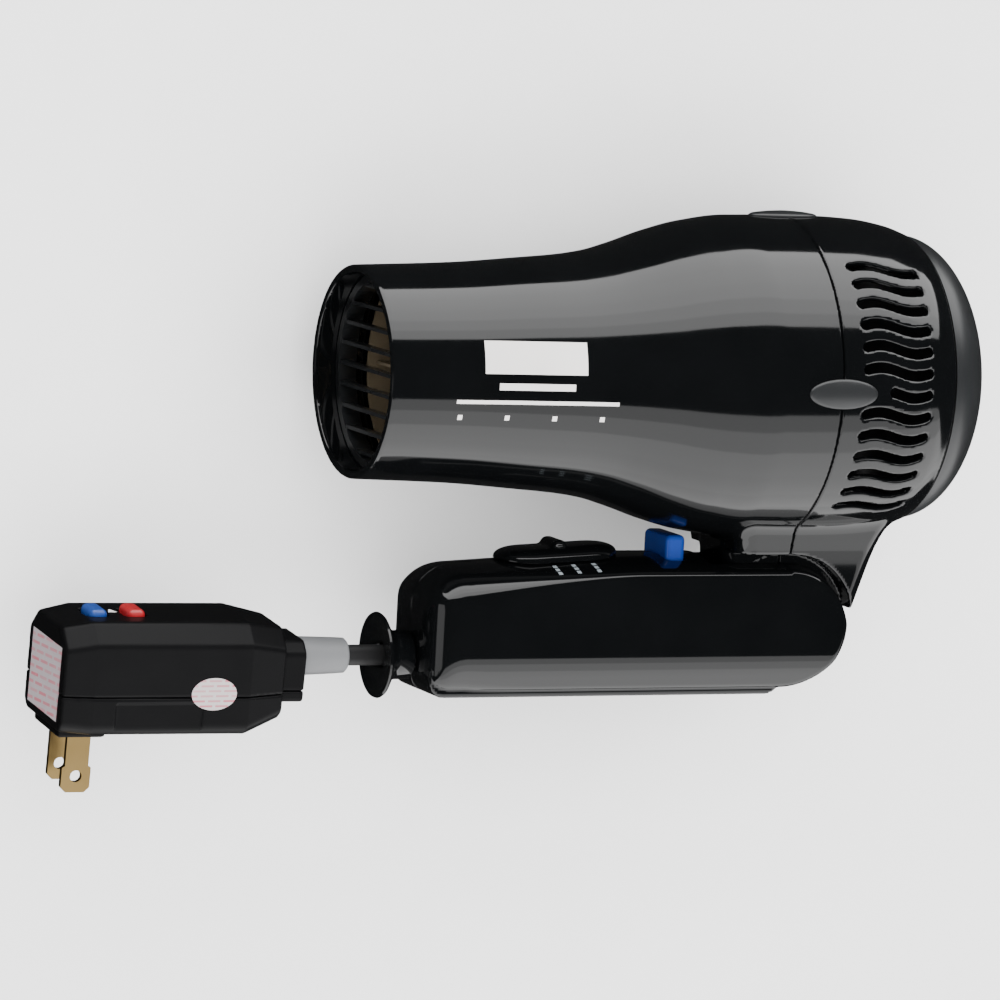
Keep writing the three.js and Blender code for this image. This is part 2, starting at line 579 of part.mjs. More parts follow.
const upperHalf = solid(inPlug(box(-90, 10, plugCut + GAP / 2, 40, -40, 40)));
const lowerHalf = solid(inPlug(box(-90, 10, -40, plugCut - GAP / 2, -40, 40)));
piece('plug_top_shell', plugCore.intersect(upperHalf).subtract(cordWay).subtract(testWindow)
  .subtract(resetWindow), 0x0e0f11, 0.35);
const bladeAt = [-BLADE_SPACING / 2, BLADE_SPACING / 2];
let plugLower = plugCore.intersect(lowerHalf).subtract(cordWay);
for (const w of bladeAt) {
  const slot = box(-BLADE_U - 3.5, -BLADE_U + 3.5, -PLUG_DEPTH - 4, -PLUG_DEPTH + 4, w - 1.05, w + 1.05);
  plugLower = plugLower.subtract(solid(inPlug(slot)));
}
piece('plug_bottom_shell', plugLower, 0x0e0f11, 0.35);

function plugBlade(name, w, tip) {
  const half = tip / 2;
  const outline = [[-3.175, -11], [3.175, -11], [3.175, -26.6], [half, -27], [half, -32.2],
    [half - 1.4, -33.6], [1.4 - half, -33.6], [-half, -32.2], [-half, -27], [-3.175, -26.6]];
  const blade = slab(outline, w - 0.75, w + 0.75).translate(-BLADE_U, 0, 0);
  const hole = rod(1.6, 6, 14).translate(-BLADE_U, -29.3, w);
  piece(name, solid(inPlug(blade)).subtract(solid(inPlug(hole))), 0xc9a35a, 0.25, 1);
}
plugBlade('plug_blade_wide', bladeAt[1], 7.9);
plugBlade('plug_blade_narrow', bladeAt[0], 6.35);

function plugButton(name, u0, u1, color) {
  const stem = solid(inPlug(box(u0, u1, 7.6, 14.2, -4, 4, 0.5)));
  piece(name, stem.add(solid(inPlug(box(u0 - 1.2, u1 + 1.2, 7, 8.6, -5.2, 5.2)))), color, 0.4);
}
plugButton('test_button', -59.5, -53.9, 0x2444b0);
plugButton('reset_button', -49.1, -43.5, 0xb4242c);
piece('plug_circuit_board', inPlug(box(-56, -14, -2.6, -1.2, -11, 11)), 0x2f6b3c, 0.6);
piece('trip_coil', inPlug(moved(rod(4, 12, 16, 'x'), -26, 3.1, -4)), 0xa8552c, 0.4, 0.5);

// ---- placing -------------------------------------------------------------

const cordNames = ['cord_stub', 'cord_sleeve', 'test_button', 'reset_button', 'trip_coil'];
const body = new THREE.Box3();
for (const part of dryer.children) {
  part.geometry.computeBoundingBox();
  if (!cordNames.includes(part.name) && !part.name.startsWith('plug_')) body.union(part.geometry.boundingBox);
}
const shift = new THREE.Vector3(-(body.min.x + body.max.x) / 2, -(body.min.y + body.max.y) / 2, -body.min.z);
for (const part of dryer.children) part.geometry.translate(shift.x, shift.y, shift.z);

export default dryer;
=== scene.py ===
"""Travel hair dryer with a folding handle and a retractable cord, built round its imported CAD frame.

Shapes are written as distance fields in the dryer's own millimetre frame: origin on the barrel axis near
the parting plane, +X to the rear, +Y from the folded handle to the barrel, +Z out of the left side.
"""
import json
import math

import bpy
import numpy as np
from mathutils import Matrix, Vector


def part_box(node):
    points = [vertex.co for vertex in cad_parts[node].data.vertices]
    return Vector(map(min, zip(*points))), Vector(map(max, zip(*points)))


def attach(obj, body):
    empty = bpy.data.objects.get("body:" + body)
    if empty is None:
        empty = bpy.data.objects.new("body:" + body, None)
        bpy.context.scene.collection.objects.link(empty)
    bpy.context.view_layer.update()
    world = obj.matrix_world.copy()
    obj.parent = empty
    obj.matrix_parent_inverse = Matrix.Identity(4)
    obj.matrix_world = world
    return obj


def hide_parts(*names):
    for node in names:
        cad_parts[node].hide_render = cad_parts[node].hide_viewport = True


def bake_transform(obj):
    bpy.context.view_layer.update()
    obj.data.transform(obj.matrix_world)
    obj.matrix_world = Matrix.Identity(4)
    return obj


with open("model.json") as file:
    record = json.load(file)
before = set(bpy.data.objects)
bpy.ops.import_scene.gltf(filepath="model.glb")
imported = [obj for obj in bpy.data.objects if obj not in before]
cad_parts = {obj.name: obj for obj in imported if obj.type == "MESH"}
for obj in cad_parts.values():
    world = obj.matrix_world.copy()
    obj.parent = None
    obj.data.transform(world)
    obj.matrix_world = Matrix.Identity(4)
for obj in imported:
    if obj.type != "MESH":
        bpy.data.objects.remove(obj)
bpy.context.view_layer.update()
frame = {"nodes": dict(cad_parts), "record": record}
nodes = frame["nodes"]

# Driving sizes in mm, as in the CAD
NOZZLE_X, PART_X, CAP_X, CAP_R, CAP_DEPTH = -118.6, 3.6, 39.1, 38.4, 18.5
PROFILE_X = [NOZZLE_X, -92, -72, -60, -52, -44, -34, -24, -12, PART_X, 14, 24, 33, CAP_X]
PROFILE_R = [28, 29, 30.6, 31.7, 33, 35.3, 38.7, 41.3, 42.9, 43.1, 43, 42.5, 41, 38.9]
WALL, PART_GAP = 2.0, 0.12
PIVOT_X, PIVOT_Y, KNUCKLE_R, ARCH_R, TONGUE_R = 4.8, -65.3, 17.6, 19.0, 14.0
NECK_FOOT, NECK_CORNER = -61.4, 5.0
NECK_LEVELS = [NECK_FOOT, -52, -46, -42, -38, -30]
HANDLE_END, HANDLE_TOP, HANDLE_BOTTOM, HANDLE_HALF = -98.5, -47.7, -82.9, 17.0
SLOPE_X, TOP_SLOPE, CROWN, STRIP_BOTTOM, STRIP_HALF = -41.0, 0.058, 3.8, -84.8, 12.6
STRIP_MIDDLE, STRIP_REACH, STRIP_THICK = -46.3, 51.7, 4.0
HANDLE_WALL, FORK_X, FORK_FLOOR = 2.2, -17.0, -80.6
FLANK_TILT, FLANK_Y = math.radians(27), -75.6
SLIDER_X, SLIDER_R, SHOT_X = -57.7, 8.6, -25.75
TONGUE_HALF, FORK_HALF = 10.8, 11.2
SLOT_X0, SLOT_X1, SLOT_R, SLOT_PITCH, SLOTS = 9.6, 30.8, 1.25, math.radians(8), 13
SLOT_SKIN_R, SLOT_WAVE, SLOT_WAVE_LENGTH, MIDDLE_SLOT_SHORTER = 42, 1.1, 22, 8
CORD_Y, CORD_START, CORD_END = -74.9, -91.5, -131.0
PLUG_X, PLUG_Y, PLUG_LENGTH = -130.9, -75.8, 68.5
PLUG_YAW, PLUG_ROLL = -0.008, 0.1
PLUG_SPLIT, PLUG_FLOOR, PLUG_TOP, PLUG_HALF, PLUG_WALL = -6.2, -16.6, 12.6, 15.7, 2.2
TEST_U, RESET_U, BLADE_U, BLADE_W = 56.7, 46.3, 60.2, 6.35
DIAGONAL = 0.7071  # sine and cosine of 45 degrees, for bevels

pin_low, pin_high = (Vector(c) * 1000 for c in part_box("hinge_pin"))
SHIFT = np.array((pin_low + pin_high) / 2 - Vector((PIVOT_X, PIVOT_Y, 0)))


def to_row(points):
    """Dryer millimetres to row-frame metres."""
    return (np.asarray(points, float) + SHIFT) / 1000


# ---- distance fields -------------------------------------------------------
# Each is below zero inside its shape, in mm.


def smin(a, b, k):
    """Two shapes joined, their meeting rounded over k."""
    h = np.clip(0.5 + 0.5 * (b - a) / k, 0, 1)
    return b * (1 - h) + a * h - k * h * (1 - h)


def smax(a, b, k):
    """What two shapes share, its edge rounded over k."""
    return -smin(-a, -b, k)


def rounded_box(p, centre, half, r):
    q = [np.abs(c - m) - (h - r) for c, m, h in zip(p, centre, half)]
    outside = np.sqrt(sum(np.maximum(c, 0) ** 2 for c in q))
    return outside + np.minimum(np.maximum.reduce(q), 0) - r


def round_corner(a, b, r):
    """Two faces meeting at a corner of that radius."""
    a, b = a + r, b + r
    return np.hypot(np.maximum(a, 0), np.maximum(b, 0)) + np.minimum(np.maximum(a, b), 0) - r


def smooth_curve(x, xs, ys):
    """A monotone cubic through a few stations."""
    xs, ys = np.array(xs, float), np.array(ys, float)
    step = np.diff(ys) / np.diff(xs)
    slope = np.zeros_like(ys)
    inner = step[:-1] * step[1:] > 0
    slope[1:-1][inner] = 2 * step[:-1][inner] * step[1:][inner] / (step[:-1] + step[1:])[inner]
    slope[0], slope[-1] = step[0], step[-1]
    x = np.clip(x, xs[0], xs[-1])
    i = np.clip(np.searchsorted(xs, x) - 1, 0, len(xs) - 2)
    w = xs[i + 1] - xs[i]
    t = (x - xs[i]) / w
    return (
        ys[i] * (1 + 2 * t) * (1 - t) ** 2
        + slope[i] * w * t * (1 - t) ** 2
        + ys[i + 1] * t * t * (3 - 2 * t)
        + slope[i + 1] * w * t * t * (t - 1)
    )


def barrel_radius(x):
    return smooth_curve(x, PROFILE_X, PROFILE_R)


def neck_field(x, y, z, low, high, half):
    """A column from the barrel down to the hinge. low, high and half are its x ends and half width over y."""
    x0, x1 = (smooth_curve(y, NECK_LEVELS, e) for e in (low, high))
    hz = smooth_curve(y, NECK_LEVELS, half)
    side = round_corner(np.abs(x - (x0 + x1) / 2) - (x1 - x0) / 2, np.abs(z) - hz, NECK_CORNER)
    return smax(smax(side, NECK_FOOT - y, 0.8), y + 28, 1.0)


def body_field(x, y, z):
    """Barrel, neck and hinge tongue as one smooth body."""
    r = np.hypot(y, z)
    slope = barrel_radius(x + 0.5) - barrel_radius(x - 0.5)
    barrel = (r - barrel_radius(x)) / np.sqrt(1 + slope**2)
    barrel = smax(barrel, x - CAP_X, 0.8)
    rear = [24.8, 27.8, 29.7, 31.1, 33, 37]
    front = [-10.5, -11.5, -12, -12.5, -13.5, -14]
    column = neck_field(x, y, z, front, [e - 0.6 for e in rear], [TONGUE_HALF] * 6)
    knuckle = np.hypot(x - PIVOT_X, y - PIVOT_Y)
    front, half = [-11.5, -11.5, -11.5, -12, -13, -15], [16.4, 16.8, 17.4, 18.4, 19.5, 22]
    hood = neck_field(x, y, z, front, rear, half)
    hood = smax(hood, ARCH_R - knuckle, 0.5)
    hood = smax(hood, -smax(x - PIVOT_X, y - PIVOT_Y - ARCH_R, 0.3), 0.5)
    tongue = smax(knuckle - TONGUE_R, np.abs(z) - TONGUE_HALF, 0.6)
    outer = smin(smin(barrel, hood, 2.2), column, 0.4)
    outer = smin(outer, tongue, 0.8)
    swing = smax(knuckle - KNUCKLE_R - 0.7, TONGUE_HALF + 0.05 - np.abs(z), 0.4)
    outer = smax(outer, -swing, 0.5)
    outer = smax(outer, x - CAP_X + 0.05, 0.8)
    bore = (r - barrel_radius(x) + WALL) / np.sqrt(1 + slope**2)
    shell = smax(outer, -bore, 0.5)
    return smax(shell, NOZZLE_X - x, 0.7)


def slot_field(x, y, z):
    """The nearest S-wave intake slot, measured along the housing's skin."""
    angle = np.arctan2(y, np.abs(z))
    index = np.clip(np.round(angle / SLOT_PITCH), -(SLOTS // 2), SLOTS // 2)
    start = np.where(index == 0, SLOT_X0 + MIDDLE_SLOT_SHORTER, SLOT_X0) + SLOT_R
    end = SLOT_X1 - SLOT_R
    along = np.clip(x, start, end)
    wave = SLOT_WAVE * np.sin(2 * np.pi * (along - SLOT_X0 + 0.5) / SLOT_WAVE_LENGTH)
    across = (angle - index * SLOT_PITCH) * SLOT_SKIN_R - wave
    return np.hypot(x - along, across) - SLOT_R


def front_field(x, y, z):
    return smax(body_field(x, y, z), x - PART_X + PART_GAP, 0.5)


def rear_field(x, y, z):
    shell = smax(body_field(x, y, z), PART_X + PART_GAP - x, 0.5)
    cutter_start = 34
    return smax(shell, -smax(slot_field(x, y, z), cutter_start - np.hypot(y, z), 0.3), 0.7)


def handle_top(x):
    """Height of the handle's top along its middle: level by the hinge, then falling to the free end."""
    run = SLOPE_X - x
    return HANDLE_TOP - TOP_SLOPE * 0.5 * (run + np.sqrt(run * run + 9))


def handle_solid(x, y, z):
    """The handle's outside: crowned top, rounded free end and knuckle, slanted lower flanks, back strip."""
    crown = CROWN * (z / HANDLE_HALF) ** 2
    end = HANDLE_END - x
    upper = round_corner(end, y - handle_top(x) + crown, 11)
    lower = round_corner(end, HANDLE_BOTTOM - y, 7)
    knuckle = np.hypot(x - PIVOT_X, y - PIVOT_Y) - KNUCKLE_R
    knuckle = knuckle + crown * np.clip((y - PIVOT_Y) / KNUCKLE_R, 0, 1)
    profile = np.where(x < PIVOT_X, np.maximum(upper, lower), knuckle)
    side = np.abs(z) - HANDLE_HALF
    edge = 1.6 + 5.0 * np.clip((-45 - x) / 42, 0, 1) ** 1.5
    body = smax(round_corner(profile, side, edge), round_corner(end, side, 10), 0.8)
    flank = side * math.cos(FLANK_TILT) - (y - FLANK_Y) * math.sin(FLANK_TILT)
    body = smax(body, flank, 1.6)
    strip_middle = (STRIP_MIDDLE, STRIP_BOTTOM + STRIP_THICK, 0)
    strip = rounded_box((x, y, z), strip_middle, (STRIP_REACH, STRIP_THICK, STRIP_HALF), 1.0)
    chamfer = (x * 0.6 - y * 0.8) - (0.8 * -STRIP_BOTTOM + 1.0)
    strip = smax(strip, round_corner(end + 1.1, STRIP_BOTTOM - y, 5), 0.4)
    return smin(body, smax(strip, chamfer, 0.4), 0.3)


def handle_field(x, y, z):
    """The handle's shell, with the hinge fork and the openings for slider, button and cord."""
    solid = handle_solid(x, y, z)
    hollow = smax(solid + HANDLE_WALL, x + 19.4, 0.3)
    shell = smax(solid, -hollow, 0.3)
    side = np.abs(z) - FORK_HALF
    fork = smax(np.maximum(FORK_X - x, side), FORK_FLOOR - y, 0.6)
    tail = np.maximum(PIVOT_X + 0.8 - x, side)
    shell = smax(smax(shell, -fork, 0.5), -tail, 0.5)
    shell = smax(shell, -rounded_box((x, y, z), (SHOT_X, -47, 0), (3.1, 8, 8.6), 1.2), 0.3)
    shell = smax(shell, -rounded_box((x, y, z), (SLIDER_X, -47, 0), (8.8, 8, 4.6), 1.0), 0.3)
    return smax(shell, -smax(np.hypot(y - CORD_Y, z) - 4.5, x + 92, 0.2), 0.3)


def slider_field(x, y, z):
    """The slider in a frame laid on the sloping top of the handle."""
    dx, dy = x - SLIDER_X, y - HANDLE_TOP - TOP_SLOPE * (SLIDER_X - SLOPE_X)
    x, y = dx + dy * TOP_SLOPE, dy - dx * TOP_SLOPE
    u = np.maximum(np.abs(x) - SLIDER_R, 0)
    reach = np.clip(np.hypot(u, z) / SLIDER_R, 0, 1.3)
    top = 0.5 + 2.7 * np.sqrt(np.clip(1 - np.minimum(reach, 1) ** 3, 0, 1)) - 0.5 * (z / SLIDER_R) ** 2
    dome = smax((y - top) * 0.8, (reach - 1) * SLIDER_R, 0.5)
    ridge = rounded_box((x, y, z), (-0.4, 2.9, 0), (1.9, 1.8, 5.2), 1.5)
    body = smin(dome, ridge, 1.2)
    return smax(body, 0.25 - CROWN * (z / HANDLE_HALF) ** 2 - y, 0.3)


def plug_frame(x, y, z):
    """Dryer frame to the plug's: u from the collar to the far end, v up, w across."""
    c, s = math.cos(PLUG_YAW), math.sin(PLUG_YAW)
    dx, dy = x - PLUG_X, y - PLUG_Y
    a, b = dx * c + dy * s, -dx * s + dy * c
    c, s = math.cos(PLUG_ROLL), math.sin(PLUG_ROLL)
    return -a, b * c + z * s, -b * s + z * c


def plug_point(u, v, w):
    """The plug's frame to the dryer frame."""
    turn = Matrix.Rotation(PLUG_YAW, 3, "Z") @ Matrix.Rotation(PLUG_ROLL, 3, "X")
    return turn @ Vector((-u, v, w)) + Vector((PLUG_X, PLUG_Y, 0))


def plug_solid(x, y, z):
    """The plug's outside: a bevelled block tapering to both ends, its collar and the pad round the blades."""
    u, v, w = plug_frame(x, y, z)
    stations = [7, 17.5, 60, PLUG_LENGTH]
    half = np.interp(u, stations, [12.6, PLUG_HALF, PLUG_HALF, 14.6])
    top = np.interp(u, stations, [10.6, PLUG_TOP, PLUG_TOP, 11.0])
    bottom = np.interp(u, stations, [-13, PLUG_FLOOR, PLUG_FLOOR, PLUG_FLOOR + 0.6])
    body = smax(np.abs(w) - half, v - top, 0.5)
    body = smax(body, bottom - v, 0.8)
    body = smax(body, (np.abs(w) + v - half - top + 5.0) * DIAGONAL, 0.7)
    body = smax(body, (np.abs(w) - v - half + bottom + 2.2) * DIAGONAL, 0.7)
    body = smax(smax(body, u - PLUG_LENGTH, 1.2), 7 - u, 0.6)
    collar = smax(np.abs(w) - 9.5, v - 6.9, 1.0)
    collar = smax(collar, -9.2 - v, 1.0)
    collar = smax(collar, (np.abs(w) + v - 13.4) * DIAGONAL, 0.8)
    collar = smax(smax(collar, u - 9, 0.4), -u, 0.8)
    pad = rounded_box((u, v, w), (60.5, PLUG_FLOOR + 0.2, 0), (6.5, 2.0, 9.6), 0.8)
    body = smin(smin(body, collar, 0.6), pad, 0.4)
    recess = rounded_box((u, v, np.abs(w)), (42, -14.2, 16.3), (12, 6.5, 1.1), 0.5)
    return smax(body, -recess, 0.4)


def plug_field(x, y, z, side):
    """One of the plug's half shells: side is 1 for the top and -1 for the bottom."""
    u, v, w = plug_frame(x, y, z)
    solid = plug_solid(x, y, z)
    shell = smax(solid, -smax(solid + PLUG_WALL, 9 - u, 0.3), 0.3)
    shell = smax(shell, side * (PLUG_SPLIT - v) + PART_GAP, 0.45)
    for centre in (TEST_U, RESET_U):
        shell = smax(shell, -rounded_box((u, v, w), (centre, 12, 0), (3.2, 4, 4.4), 1.2), 0.25)
    shell = smax(shell, -smax(np.hypot(y - CORD_Y, z) - 3.2, PLUG_X - 12 - x, 0.2), 0.3)
    for blade in (-BLADE_W, BLADE_W):
        shell = smax(shell, -rounded_box((u, v, w), (BLADE_U, -17, blade), (3.5, 6, 1.0), 0.3), 0.2)
    return shell


def plug_button_field(x, y, z, centre):
    p = plug_frame(x, y, z)
    return rounded_box(p, (centre, 10.9, 0.4), (2.4, 3.4, 4.4), 1.5)


def oval_field(x, y, z, turn):
    """A low oval cap on the parting line, turned round the barrel from its left side."""
    a = x - PART_X
    b = y * math.cos(turn) + z * math.sin(turn)
    c = -y * math.sin(turn) + z * math.cos(turn)
    e = np.hypot(a / 10, b / 4)
    crown = c - 44.45 + 0.9 * e**2
    pad = smax((e - 1) * 3.2, crown, 0.5)
    return smax(pad, 42.5 - c, 0.2)


# ---- meshes ------------------------------------------------------------------


def add_mesh(name, points, faces, material, body, replaced=(), normals=None):
    """A smooth piece from points in dryer millimetres, riding on a body in place of some CAD nodes."""
    mesh = bpy.data.meshes.new(name)
    mesh.from_pydata([tuple(p) for p in to_row(points)], [], [tuple(f) for f in faces])
    mesh.polygons.foreach_set("use_smooth", [True] * len(mesh.polygons))
    if normals is not None:
        mesh.normals_split_custom_set_from_vertices([tuple(n) for n in normals])
    obj = bpy.data.objects.new(name, mesh)
    bpy.context.scene.collection.objects.link(obj)
    mesh.materials.append(material)
    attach(obj, body)
    if replaced:
        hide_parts(*replaced)
    return obj


def gradient(field, p, step):
    """The field's slope at each point, by central differences."""
    g = np.empty_like(p)
    for axis in range(3):
        e = np.zeros(3)
        e[axis] = step
        g[:, axis] = (field(*(p + e).T) - field(*(p - e).T)) / (2 * step)
    return g


def sculpt(name, field, low, high, cell, material, body, replaced=()):
    """Surface nets over the field, with every vertex brought onto the surface."""
    low, high = np.array(low, float), np.array(high, float)
    count = np.ceil((high - low) / cell).astype(int) + 1
    axes = [low[i] + cell * np.arange(count[i]) for i in range(3)]
    values = np.empty(count, np.float32)
    for i, x in enumerate(axes[0]):
        values[i] = field(np.full((count[1], count[2]), x), *np.meshgrid(axes[1], axes[2], indexing="ij"))
    inside = values < 0
    corners = sum(
        inside[a : count[0] - 1 + a, b : count[1] - 1 + b, c : count[2] - 1 + c].astype(np.int8)
        for a in (0, 1)
        for b in (0, 1)
        for c in (0, 1)
    )
    mixed = (corners > 0) & (corners < 8)
    ids = np.full(mixed.shape, -1, int)
    ids[mixed] = np.arange(mixed.sum())
    centre = low + cell * (np.argwhere(mixed) + 0.5)
    points = centre.copy()
    for _ in range(4):
        g = gradient(field, points, cell * 0.2)
        f = field(*points.T)
        points -= (f / np.maximum((g**2).sum(1), 0.2))[:, None] * g
        points = np.clip(points, centre - cell * 0.9, centre + cell * 0.9)
    faces = []
    for axis in range(3):
        one, two = (axis + 1) % 3, (axis + 2) % 3
        a = np.moveaxis(inside, (axis, one, two), (0, 1, 2))
        cells = np.moveaxis(ids, (axis, one, two), (0, 1, 2))
        crossing = a[:-1, 1:-1, 1:-1] != a[1:, 1:-1, 1:-1]
        i, j, k = np.nonzero(crossing)
        quad = np.stack([cells[i, j, k], cells[i, j + 1, k], cells[i, j + 1, k + 1], cells[i, j, k + 1]], 1)
        flip = ~a[i, j + 1, k + 1]
        quad[flip] = quad[flip][:, ::-1]
        faces.append(quad)
    faces = np.concatenate(faces)
    faces = faces[(faces >= 0).all(1)]
    g = gradient(field, points, cell * 0.25)
    normals = g / np.maximum(np.linalg.norm(g, axis=1), 1e-9)[:, None]
    return add_mesh(name, points, faces, material, body, replaced, normals)


def lathe(name, profile, centre_y, material, body, replaced=(), segments=96):
    """Revolves a closed profile of (x, radius) about a line along X."""
    points, faces = [], []
    n = len(profile)
    for k in range(segments):
        t = 2 * math.pi * k / segments
        points += [(x, centre_y + r * math.cos(t), r * math.sin(t)) for x, r in profile]
        for i in range(n):
            a, b = k * n + i, k * n + (i + 1) % n
            c, d = ((k + 1) % segments) * n + (i + 1) % n, ((k + 1) % segments) * n + i
            faces.append((a, d, c, b))
    obj = add_mesh(name, points, faces, material, body, replaced)
    mesh = obj.data
    weld = obj.modifiers.new("weld", "WELD")
    weld.merge_threshold = 1e-6
    mesh.set_sharp_from_angle(angle=math.radians(38))
    return obj


def plate(name, surface, across, along, thick, material, body, steps=(24, 8)):
    """A thin sheet laid on a surface: surface(s, t) gives a point and its outward normal."""
    nu, nv = steps
    grid = [[surface(s, t) for t in np.linspace(*along, nv + 1)] for s in np.linspace(*across, nu + 1)]
    points, faces = [], []
    for lift in (thick, -0.05):
        for row in grid:
            points += [tuple(p + n * lift) for p, n in row]
    stride, layer = nv + 1, (nu + 1) * (nv + 1)
    for i in range(nu):
        for j in range(nv):
            a = i * stride + j
            quad = (a, a + stride, a + stride + 1, a + 1)
            faces.append(quad)
            faces.append(tuple(layer + q for q in reversed(quad)))
    rim = [i * stride for i in range(nu + 1)] + [nu * stride + j for j in range(1, nv + 1)]
    rim += [i * stride + nv for i in range(nu - 1, -1, -1)] + [j for j in range(nv - 1, 0, -1)]
    for a, b in zip(rim, rim[1:] + rim[:1]):
        faces.append((b, a, layer + a, layer + b))
    obj = add_mesh(name, points, faces, material, body)
    obj.data.set_sharp_from_angle(angle=math.radians(40))
    return obj


# ---- materials ---------------------------------------------------------------


def plastic(name, color, roughness, spread, grain, depth, coat=0.0, metallic=0.0, second=None):
    """A moulded or metal surface: fine grain in its height, and slow changes in its colour and polish."""
    material = bpy.data.materials.new(name)
    material.use_nodes = True
    tree = material.node_tree
    shader = tree.nodes["Principled BSDF"]
    shader.inputs["Metallic"].default_value = metallic
    shader.inputs["Coat Weight"].default_value = coat
    shader.inputs["Coat Roughness"].default_value = 0.03
    place = tree.nodes.new("ShaderNodeTexCoord")
    slow = tree.nodes.new("ShaderNodeTexNoise")
    slow.inputs["Scale"].default_value = 60
    slow.inputs["Detail"].default_value = 5
    fine = tree.nodes.new("ShaderNodeTexNoise")
    fine.inputs["Scale"].default_value = grain
    fine.inputs["Detail"].default_value = 3
    tint = tree.nodes.new("ShaderNodeMix")
    tint.data_type = "RGBA"
    tint.inputs["A"].default_value = (*color, 1)
    tint.inputs["B"].default_value = (*(second or [min(1, c * 1.5 + 0.0006) for c in color]), 1)
    polish = tree.nodes.new("ShaderNodeMapRange")
    polish.inputs["To Min"].default_value = roughness
    polish.inputs["To Max"].default_value = roughness + spread
    bump = tree.nodes.new("ShaderNodeBump")
    bump.inputs["Strength"].default_value = 0.25
    bump.inputs["Distance"].default_value = depth
    links = [
        (place.outputs["Object"], slow.inputs["Vector"]),
        (place.outputs["Object"], fine.inputs["Vector"]),
        (slow.outputs["Fac"], tint.inputs["Factor"]),
        (tint.outputs["Result"], shader.inputs["Base Color"]),
        (slow.outputs["Fac"], polish.inputs["Value"]),
        (polish.outputs["Result"], shader.inputs["Roughness"]),
        (fine.outputs["Fac"], bump.inputs["Height"]),
        (bump.outputs["Normal"], shader.inputs["Normal"]),
    ]
    for a, b in links:
        tree.links.new(a, b)
    return material


def printed(name, paper, ink, scale, axes):
    """A pale sticker with rows of short printed dashes."""
    material = plastic(name, paper, 0.4, 0.1, 900, 0.00002)
    tree = material.node_tree
    shader = tree.nodes["Principled BSDF"]
    place = tree.nodes["Texture Coordinate"]
    turn = tree.nodes.new("ShaderNodeMapping")
    turn.inputs["Rotation"].default_value = axes
    rows = tree.nodes.new("ShaderNodeTexBrick")
    rows.inputs["Scale"].default_value = scale
    rows.inputs["Color1"].default_value = (*ink, 1)
    rows.inputs["Color2"].default_value = (*[0.5 * (a + b) for a, b in zip(ink, paper)], 1)
    rows.inputs["Mortar"].default_value = (*paper, 1)
    rows.inputs["Mortar Size"].default_value = 0.032
    rows.inputs["Mortar Smooth"].default_value = 0.1
    rows.inputs["Brick Width"].default_value = 0.32
    rows.inputs["Row Height"].default_value = 0.1
    tree.links.new(place.outputs["Object"], turn.inputs["Vector"])
    tree.links.new(turn.outputs["Vector"], rows.inputs["Vector"])
    tree.links.new(rows.outputs["Color"], shader.inputs["Base Color"])
    return material


gloss = plastic("gloss_black_plastic", (0.0014, 0.0016, 0.0018), 0.05, 0.05, 1400, 0.000002)
satin = plastic("satin_black_plastic", (0.008, 0.0085, 0.009), 0.3, 0.12, 2600, 0.00002)
grille_black = plastic("grille_black", (0.006, 0.0065, 0.007), 0.22, 0.15, 1500, 0.00001)
plug_black = plastic("plug_black_plastic", (0.0022, 0.0022, 0.0024), 0.3, 0.12, 2200, 0.00002)
plug_black.node_tree.nodes["Principled BSDF"].inputs["Specular IOR Level"].default_value = 0.08
blue = plastic("blue_plastic", (0.005, 0.024, 0.15), 0.16, 0.1, 1500, 0.00001, coat=0.4)
plug_blue = plastic("plug_blue_plastic", (0.006, 0.03, 0.15), 0.3, 0.1, 1500, 0.00001)
red = plastic("red_plastic", (0.22, 0.007, 0.01), 0.25, 0.1, 1500, 0.00001)
grey_sleeve = plastic("grey_sleeve", (0.085, 0.087, 0.09), 0.42, 0.15, 1800, 0.00003)
cord_rubber = plastic("cord_rubber", (0.0025, 0.0025, 0.0028), 0.55, 0.15, 1800, 0.00003)
wire = plastic("wire_insulation", (0.3, 0.02, 0.015), 0.5, 0.1, 1500, 0.00002)
mica = plastic("mica", (0.14, 0.11, 0.07), 0.5, 0.2, 900, 0.00003)
heater = plastic("heater_wire", (0.25, 0.22, 0.2), 0.3, 0.2, 1500, 0.00001, metallic=1)
steel = plastic("steel", (0.5, 0.51, 0.53), 0.22, 0.15, 1800, 0.00001, metallic=1)
brass = plastic("brass", (0.4, 0.28, 0.115), 0.22, 0.18, 1600, 0.00001, metallic=1, second=(0.3, 0.2, 0.075))
dark_inner = plastic("inner_plastic", (0.03, 0.032, 0.035), 0.4, 0.15, 1500, 0.00002)
board = plastic("circuit_board", (0.02, 0.12, 0.04), 0.35, 0.1, 1500, 0.00001)
ceramic = plastic("ceramic_body", (0.6, 0.58, 0.5), 0.5, 0.1, 1500, 0.00001)
mark = plastic("silver_print", (0.62, 0.6, 0.58), 0.35, 0.1, 2000, 0.000004, second=(0.74, 0.72, 0.7))
grey_mark = plastic("grey_print", (0.22, 0.25, 0.27), 0.4, 0.1, 2000, 0.000004)
pink_ink = (0.34, 0.09, 0.12)
end_paper = printed("end_sticker", (0.26, 0.235, 0.245), pink_ink, 48, (0, math.pi / 2, 0))
oval_paper = printed("oval_sticker", (0.36, 0.33, 0.33), pink_ink, 75, (0, 0, 0))

